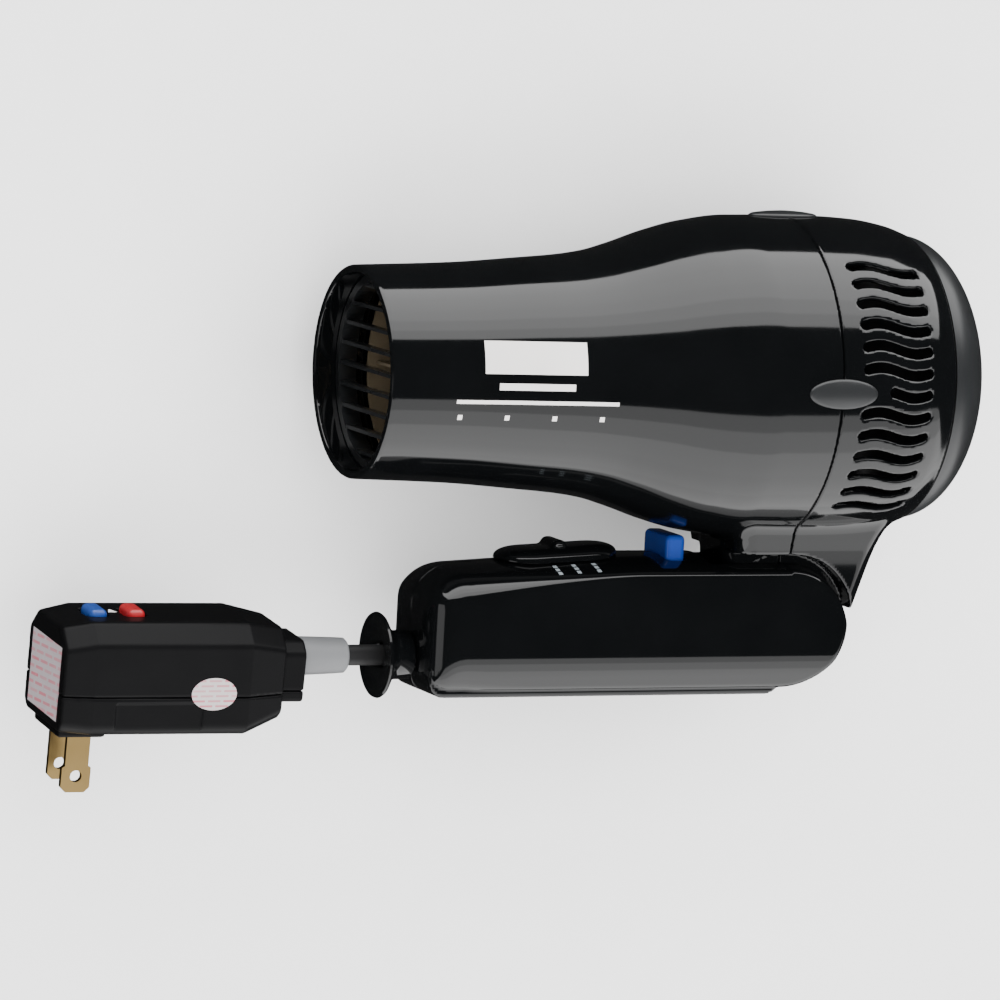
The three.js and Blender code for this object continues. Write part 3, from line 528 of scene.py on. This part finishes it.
slot_materials = {
    "gloss_black_plastic": gloss,
    "satin_black_plastic": satin,
    "plug_black_plastic": plug_black,
    "blue_plastic": blue,
    "red_plastic": red,
    "grey_sleeve": grey_sleeve,
    "cord_rubber": cord_rubber,
    "wire_insulation": wire,
    "mica": mica,
    "heater_wire": heater,
    "steel": steel,
    "brass": brass,
    "inner_plastic": dark_inner,
    "circuit_board": board,
    "ceramic_body": ceramic,
}
for part in frame["record"]["subparts"]:
    node = nodes[part["node"]]
    node.data.materials.clear()
    node.data.materials.append(slot_materials[part["material_slot"]])
nodes["outlet_grille"].data.materials[0] = grille_black
for name in ("plug_blade_wide", "plug_blade_narrow", "outlet_grille"):
    bevel = nodes[name].modifiers.new("edges", "BEVEL")
    bevel.width = 0.00025
    bevel.segments = 2

# ---- barrel --------------------------------------------------------------------

BARREL_LOW, BARREL_HIGH = (-120, -81, -45), (41, 45, 45)
sculpt("front_barrel_skin", front_field, BARREL_LOW, (5, 45, 45), 0.8, gloss, "barrel", ["front_barrel"])
sculpt("rear_housing_skin", rear_field, (2, -81, -45), BARREL_HIGH, 0.7, gloss, "barrel", ["rear_housing"])

dome = [(CAP_X + 0.25, CAP_R - 0.5), (CAP_X + 0.3, CAP_R - 0.15)]
for i in range(1, 33):
    t = math.sin(i / 32 * math.pi / 2)
    dome.append((CAP_X + 0.5 + (CAP_DEPTH - 0.2) * t, max(CAP_R * math.sqrt(1 - min(t, 1) ** 2), 0.01)))
inner = [(max(CAP_X + 0.25, x - 2), max(r - 2, 0.01)) for x, r in reversed(dome[2:])]
lathe("rear_cap_skin", dome + inner, 0, satin, "barrel", ["rear_cap"], 128)
LIP_R, LIP_START, LIP_END = 36.4, CAP_X - 2.4, CAP_X + 1.0
lip = [(LIP_START, LIP_R), (LIP_END, LIP_R), (LIP_END, LIP_R - 1.3), (LIP_START, LIP_R - 1.3)]
lathe("rear_cap_lip", lip, 0, satin, "barrel", segments=128)

for side, turn in (("left", 0.0), ("right", math.pi), ("top", -math.pi / 2)):
    middle = np.array((PART_X, -43.6 * math.sin(turn), 43.6 * math.cos(turn)))
    reach = np.array((11, 2.5 + 3 * abs(math.cos(turn)), 2.5 + 3 * abs(math.sin(turn))))
    sculpt(
        f"oval_{side}",
        lambda x, y, z, turn=turn: oval_field(x, y, z, turn),
        middle - reach,
        middle + reach,
        0.3,
        satin,
        "barrel",
        [f"oval_cap_{side}"],
    )


def on_barrel(x, y):
    """A point on the barrel's left side at that x and height y, and its outward normal."""
    r = float(barrel_radius(np.array(x)))
    z = math.sqrt(r * r - y * y)
    slope = float(barrel_radius(np.array(x + 0.5)) - barrel_radius(np.array(x - 0.5)))
    n = np.array((-slope, y / r, z / r))
    return np.array((x, y, z)), n / np.linalg.norm(n)


def print_bar(name, x0, x1, y0, y1, material=mark):
    plate(name, on_barrel, (x0, x1), (y0, y1), 0.05, material, "barrel")


print_bar("mark_block", -92.9, -64.9, 3.0, 11.4)
print_bar("mark_line_short", -88.9, -68.1, -1.2, 0.6)
print_bar("mark_line_long", -100.4, -55.9, -4.9, -3.9)
for i in range(4):
    print_bar(f"mark_dot_{i + 1}", -99.6 + 13.0 * i, -98.3 + 13.0 * i, -9.2, -7.9)

# ---- handle --------------------------------------------------------------------

for side, sign in (("left", 1), ("right", -1)):
    z_range = (-0.6, 18) if sign > 0 else (-18, 0.6)
    sculpt(
        f"handle_{side}_skin",
        lambda x, y, z, sign=sign: smax(handle_field(x, y, z), PART_GAP - sign * z, 0.5),
        (-100, -86.5, z_range[0]),
        (23, -46, z_range[1]),
        0.7,
        gloss,
        "handle",
        [f"handle_{side}_shell"],
    )
sculpt(
    "switch_slider_skin",
    slider_field,
    (-77, -52, -10),
    (-39, -42, 10),
    0.4,
    gloss,
    "switch_slider_body",
    ["switch_slider"],
)
sculpt(
    "cool_shot_button_skin",
    lambda x, y, z: rounded_box((x, y, z), (-25.75, -47.8, 0), (2.75, 5.5, 7.8), 1.5),
    (-29.5, -54, -9.5),
    (-22, -41, 9.5),
    0.4,
    blue,
    "cool_shot_body",
    ["cool_shot_button"],
)


def on_handle_top(x, z):
    """A point on the handle's crowned top and its outward normal."""
    n = np.array((0, 1, 2 * CROWN * z / HANDLE_HALF**2))
    p = np.array((x, float(handle_top(x)) - 4, z))
    for _ in range(14):
        p[1] -= float(handle_solid(*p))
    return p, n / np.linalg.norm(n)


for i, x in enumerate((-61.9, -56.5, -50.7)):
    for k in range(3):
        low = 9.4 + 1.9 * k
        plate(f"switch_label_{i + 1}_{k + 1}", on_handle_top, (x - 0.55, x + 0.55), (low, low + 1.3), 0.04,
              grey_mark, "handle", (3, 4))

# ---- cord exit, cord and plug --------------------------------------------------

flange = [
    (-94, 3.3), (-94, 4.2), (-98.7, 4.3), (-98.8, 6.2), (-99.2, 6.5), (-103.0, 6.5),
    (-104.1, 6.9), (-105.1, 8.0), (-106.0, 9.6), (-106.9, 11.1), (-107.4, 11.4), (-107.9, 11.2),
    (-107.8, 10.0), (-107.2, 8.3), (-106.8, 6.4), (-107.0, 5.0), (-106.7, 3.9), (-106.0, 3.3),
]
lathe("cord_exit_skin", flange, CORD_Y, gloss, "handle", ["cord_exit_flange"])
sleeve = [
    (-116.8, 2.6), (-116.75, 4.2), (-117.2, 4.65), (-120, 4.8),
    (-125, 4.98), (-129.9, 5.15), (-130.4, 5.0), (-130.5, 2.6),
]
lathe("cord_sleeve_skin", sleeve, CORD_Y, grey_sleeve, "plug", ["cord_sleeve"])

CORD_RINGS, CORD_SIDES = 24, 24
CORD_HALF_HEIGHT, CORD_HALF_WIDTH, CORD_PINCH = 2.8, 2.0, 0.12
cord_points, cord_faces = [], []
for i in range(CORD_RINGS + 1):
    x = CORD_START + (CORD_END - CORD_START) * i / CORD_RINGS
    for k in range(CORD_SIDES):
        t = 2 * math.pi * k / CORD_SIDES
        pinch = 1 - CORD_PINCH * math.cos(2 * t) ** 8
        y, z = CORD_Y + CORD_HALF_HEIGHT * math.cos(t), CORD_HALF_WIDTH * math.sin(t) * pinch
        cord_points.append((x, y, z))
for i in range(CORD_RINGS):
    for k in range(CORD_SIDES):
        a, b = i * CORD_SIDES + k, i * CORD_SIDES + (k + 1) % CORD_SIDES
        cord_faces.append((a, b, b + CORD_SIDES, a + CORD_SIDES))
cord_faces.append(tuple(reversed(range(CORD_SIDES))))
cord_faces.append(tuple(CORD_RINGS * CORD_SIDES + k for k in range(CORD_SIDES)))
cord_mesh = bpy.data.meshes.new("cord_skin")
cord_mesh.from_pydata([tuple(p) for p in to_row(cord_points)], [], cord_faces)
cord_mesh.polygons.foreach_set("use_smooth", [True] * len(cord_mesh.polygons))
cord_mesh.materials.append(cord_rubber)
cord = bpy.data.objects.new("cord_skin", cord_mesh)
bpy.context.scene.collection.objects.link(cord)
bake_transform(cord)
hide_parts("cord_stub")

plug_low, plug_high = (-203, -97, -21), (-127, -60, 21)
for side, sign in (("top", 1), ("bottom", -1)):
    sculpt(
        f"plug_{side}_skin",
        lambda x, y, z, sign=sign: plug_field(x, y, z, sign),
        plug_low,
        plug_high,
        0.6,
        plug_black,
        "plug",
        [f"plug_{side}_shell"],
    )
for name, centre, material in (("test", TEST_U, plug_blue), ("reset", RESET_U, red)):
    middle = np.array(plug_point(centre, 10.9, 0))
    sculpt(
        f"{name}_button_skin",
        lambda x, y, z, centre=centre: plug_button_field(x, y, z, centre),
        middle - np.array((4, 5, 5.5)),
        middle + np.array((4, 5, 5.5)),
        0.35,
        material,
        f"{name}_button_body",
        [f"{name}_button"],
    )


def plug_face(origin, across, up):
    """A flat face of the plug: s runs across and t up, both in mm, from a point in the plug's frame."""
    start = np.array(plug_point(*origin))
    a = np.array(plug_point(*[o + c for o, c in zip(origin, across)])) - start
    b = np.array(plug_point(*[o + c for o, c in zip(origin, up)])) - start
    n = np.cross(a, b)
    return lambda s, t: (start + a * s + b * t, n)


plate("end_sticker", plug_face((PLUG_LENGTH, 0, 0), (0, 0, -1), (0, 1, 0)), (-11.2, 11.2), (-13.6, 6.0), 0.12,
      end_paper, "plug")
flat_side = plug_face((27.5, PLUG_SPLIT + 1.0, PLUG_HALF), (-1, 0, 0), (0, 1, 0))


def oval_patch(s, t):
    """The unit square laid out as an oval on the plug's flat side."""
    return flat_side(6.2 * s * math.sqrt(1 - t * t / 2), 4.3 * t * math.sqrt(1 - s * s / 2))


plate("oval_sticker", oval_patch, (-1, 1), (-1, 1), 0.15, oval_paper, "plug", (16, 16))
top_face = plug_face((51.5, PLUG_TOP, 0), (-1, 0, 0), (0, 0, -1))


def arrow_patch(s, t):
    """A small pointer between the two buttons."""
    return top_face(1.2 * s * (1 - t), 3.0 * t)


plate("button_mark", arrow_patch, (-1, 1), (0, 0.9), 0.08, mark, "plug", (4, 6))

# ---- floor, light and camera -----------------------------------------------------

YAW, PITCH = math.radians(23.5), math.radians(7.7)
DISTANCE, VIEW_WIDTH, SENSOR = 1740.0, 268.3123, 36
toward = Vector((-math.sin(YAW), math.cos(YAW) * math.sin(PITCH), math.cos(YAW) * math.cos(PITCH)))
right = Vector((math.cos(YAW), math.sin(YAW) * math.sin(PITCH), math.sin(YAW) * math.cos(PITCH)))
up = toward.cross(right)
centre = Vector((0, 0, 0)) - right * 70.0 - up * 33.5

camera_data = bpy.data.cameras.new("camera")
camera_data.sensor_width = SENSOR
camera_data.lens = SENSOR * DISTANCE / VIEW_WIDTH
camera_data.clip_end = 20
camera = bpy.data.objects.new("camera", camera_data)
bpy.context.scene.collection.objects.link(camera)
rotation = Matrix((right, up, toward)).transposed().to_4x4()
camera.matrix_world = Matrix.Translation(Vector(to_row(centre + toward * DISTANCE))) @ rotation
bpy.context.scene.camera = camera

floor_mesh = bpy.data.meshes.new("floor")
FLOOR_HALF, FLOOR_Z = 6, -0.0002
floor_corners = [(x * FLOOR_HALF, y * FLOOR_HALF, FLOOR_Z) for x, y in ((-1, -1), (1, -1), (1, 1), (-1, 1))]
floor_mesh.from_pydata(floor_corners, [], [(0, 1, 2, 3)])
floor = bpy.data.objects.new("floor", floor_mesh)
bpy.context.scene.collection.objects.link(floor)
pale_floor = plastic("pale_floor", (0.86, 0.86, 0.86), 0.8, 0.1, 300, 0.00001, second=(0.9, 0.9, 0.9))
floor_mesh.materials.append(pale_floor)
floor.visible_glossy = False


def light_strip(name, ends, length, radiance):
    """A rectangular light along X between two lines, facing the dryer."""
    middle = (ends[0] + ends[1]) / 2
    width = (ends[1] - ends[0]).length
    data = bpy.data.lights.new(name, "AREA")
    data.shape = "RECTANGLE"
    data.size, data.size_y = length, width
    data.energy = radiance * math.pi * length * width
    light = bpy.data.objects.new(name, data)
    bpy.context.scene.collection.objects.link(light)
    facing = Vector((1, 0, 0)).cross(ends[1] - ends[0]).normalized()
    if facing.dot(middle) < 0:
        facing = -facing
    side = Vector((1, 0, 0))
    turn = Matrix((side, facing.cross(side), facing)).transposed().to_4x4()
    light.matrix_world = Matrix.Translation(middle) @ turn
    light.visible_camera = False


def softbox(name, near_angle, far_angle, distance, length, x, radiances):
    """A long softbox whose reflection fills the barrel between two angles from +Z towards +Y."""
    near, far = (
        Vector((x, distance * math.sin(a), distance * math.cos(a)))
        for a in (math.radians(near_angle), math.radians(far_angle))
    )
    for i, radiance in enumerate(radiances):
        ends = [near.lerp(far, k / len(radiances)) for k in (i, i + 1)]
        light_strip(f"{name}_{i + 1}", ends, length, radiance)


BOX_DISTANCE, BOX_LENGTH, BOX_X = 1.3, 2.6, 0.3
softbox("upper_softbox", 40, 102, BOX_DISTANCE, BOX_LENGTH, BOX_X, [3.7, 4.3, 4.8, 4.9, 4.8, 4.7])
softbox("lower_softbox", -20, -110, BOX_DISTANCE, BOX_LENGTH, BOX_X, [1.8, 2.6, 3.3, 3.2, 3.0, 2.5])
SIDE_PLACE = (-1.2, -0.1, 0.55)
side_panel = bpy.data.lights.new("side_softbox", "AREA")
side_panel.shape = "RECTANGLE"
side_panel.size, side_panel.size_y = 0.35, 0.5
side_panel.energy = 1.3 * math.pi * side_panel.size * side_panel.size_y
side_light = bpy.data.objects.new("side_softbox", side_panel)
bpy.context.scene.collection.objects.link(side_light)
side_light.location = SIDE_PLACE
side_light.rotation_euler = Vector(SIDE_PLACE).to_track_quat("Z", "Y").to_euler()
side_light.visible_camera = False

# A broad light from above, mostly for the floor: no surface mirrors it.
floor_light = bpy.data.lights.new("floor_light", "AREA")
floor_light.size = 3.0
floor_light.energy = 150.0
overhead = bpy.data.objects.new("floor_light", floor_light)
bpy.context.scene.collection.objects.link(overhead)
overhead.location = (0, 0, 2.0)
overhead.visible_camera = False
overhead.visible_glossy = False

world = bpy.data.worlds.new("studio")
world.use_nodes = True
world.node_tree.nodes["Background"].inputs["Color"].default_value = (1, 1, 1, 1)
world.node_tree.nodes["Background"].inputs["Strength"].default_value = 0.025
bpy.context.scene.world = world
